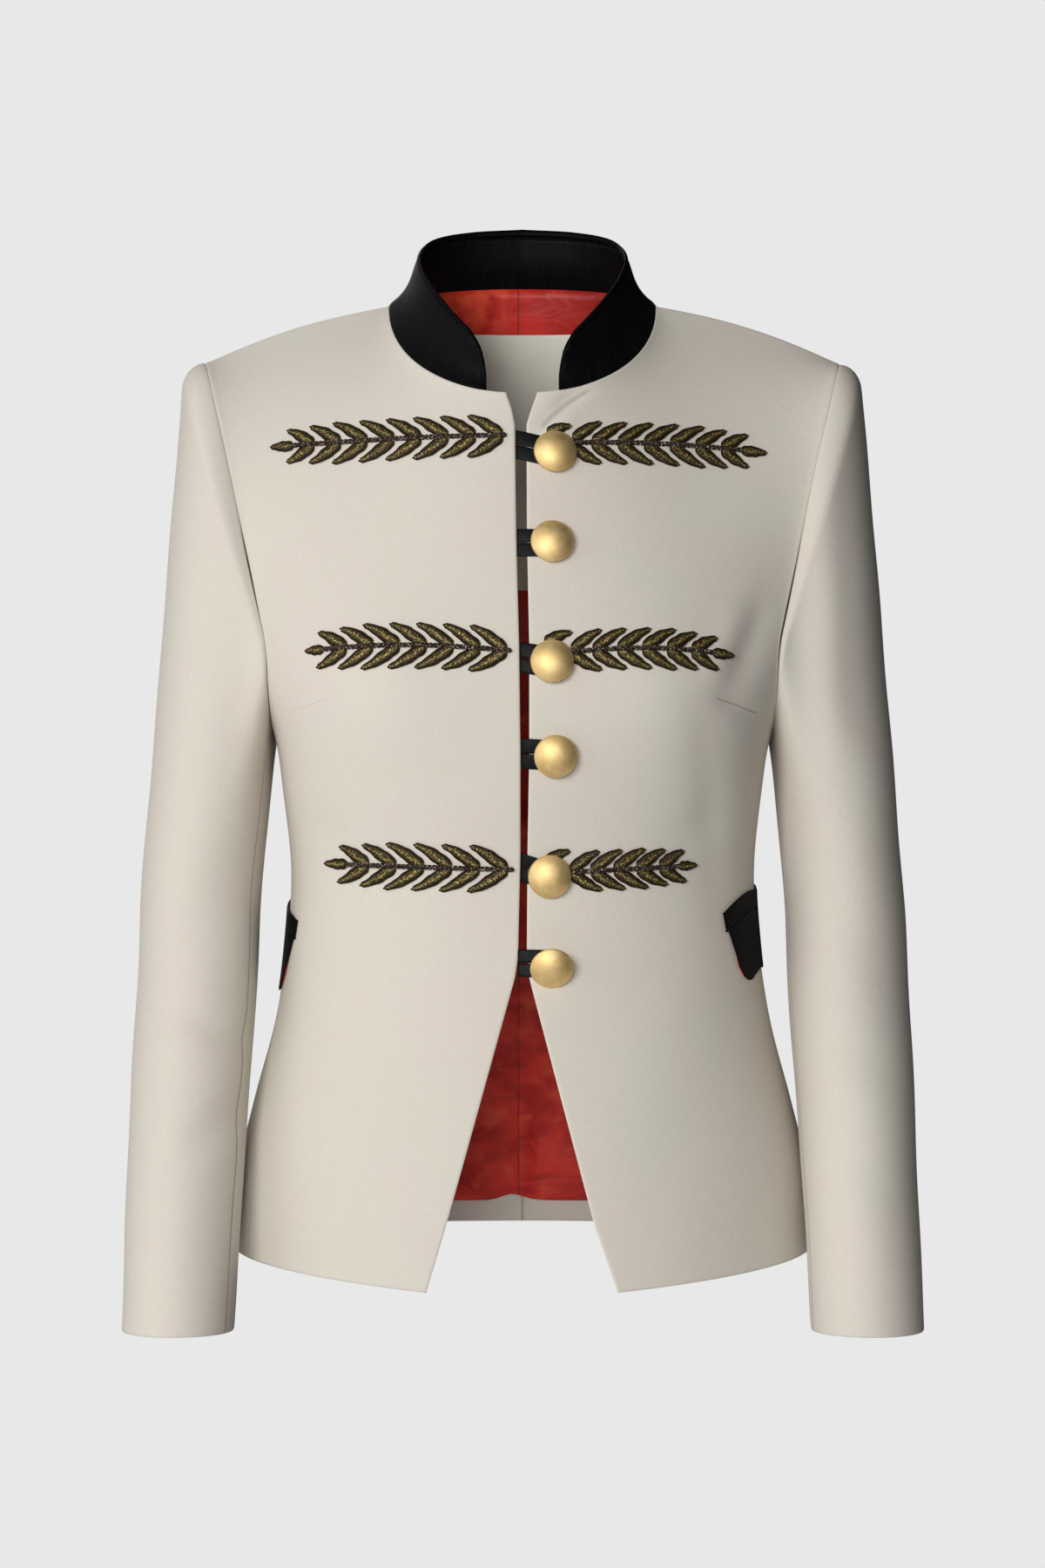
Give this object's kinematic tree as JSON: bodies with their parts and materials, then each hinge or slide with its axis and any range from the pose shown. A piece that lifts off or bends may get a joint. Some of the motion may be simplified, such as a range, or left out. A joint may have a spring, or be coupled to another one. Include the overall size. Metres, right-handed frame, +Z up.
{
  "type": "fitted stand-collar jacket",
  "caption": "Fitted long-sleeved jacket with a satin stand collar, domed metal buttons in tape loops, laurel appliques and slanted flap pockets, hollow as worn.",
  "frame": {"origin": "centre of the neck opening at the height of the side of the neck, on the centre line, midway between front and back of the shoulders", "axes": "+Z up, -Y towards the front the wearer faces, +X towards the wearer's left"},
  "size_m": [0.4858, 0.2589, 0.6808],
  "materials": {
    "cream_wool": "matt wool cloth",
    "black_satin": "satin weave",
    "black_tape": "ribbed tape",
    "red_satin": "satin lining",
    "grey_cloth": "plain woven cloth",
    "brushed_gold": "brushed",
    "bullion_thread": "metal thread"
  },
  "bodies": {
    "root": {"front_left": "cream_wool", "front_right": "cream_wool", "back_left": "cream_wool", "back_right": "cream_wool", "sleeve_top_left": "cream_wool", "sleeve_top_right": "cream_wool", "sleeve_under_left": "cream_wool", "sleeve_under_right": "cream_wool", "collar": "black_satin", "lining_back": "red_satin", "neck_panel": "grey_cloth", "pocket_flap_left": "black_satin", "pocket_flap_right": "black_satin", "pocket_welt_left": "black_satin", "pocket_welt_right": "black_satin", "button_1": "brushed_gold", "button_2": "brushed_gold", "button_3": "brushed_gold", "button_4": "brushed_gold", "button_5": "brushed_gold", "button_6": "brushed_gold", "loop_1": "black_tape", "loop_2": "black_tape", "loop_3": "black_tape", "loop_4": "black_tape", "loop_5": "black_tape", "loop_6": "black_tape", "laurel_upper_left": "bullion_thread", "laurel_upper_right": "bullion_thread", "laurel_middle_left": "bullion_thread", "laurel_middle_right": "bullion_thread", "laurel_lower_left": "bullion_thread", "laurel_lower_right": "bullion_thread"}
  },
  "joints": []
}
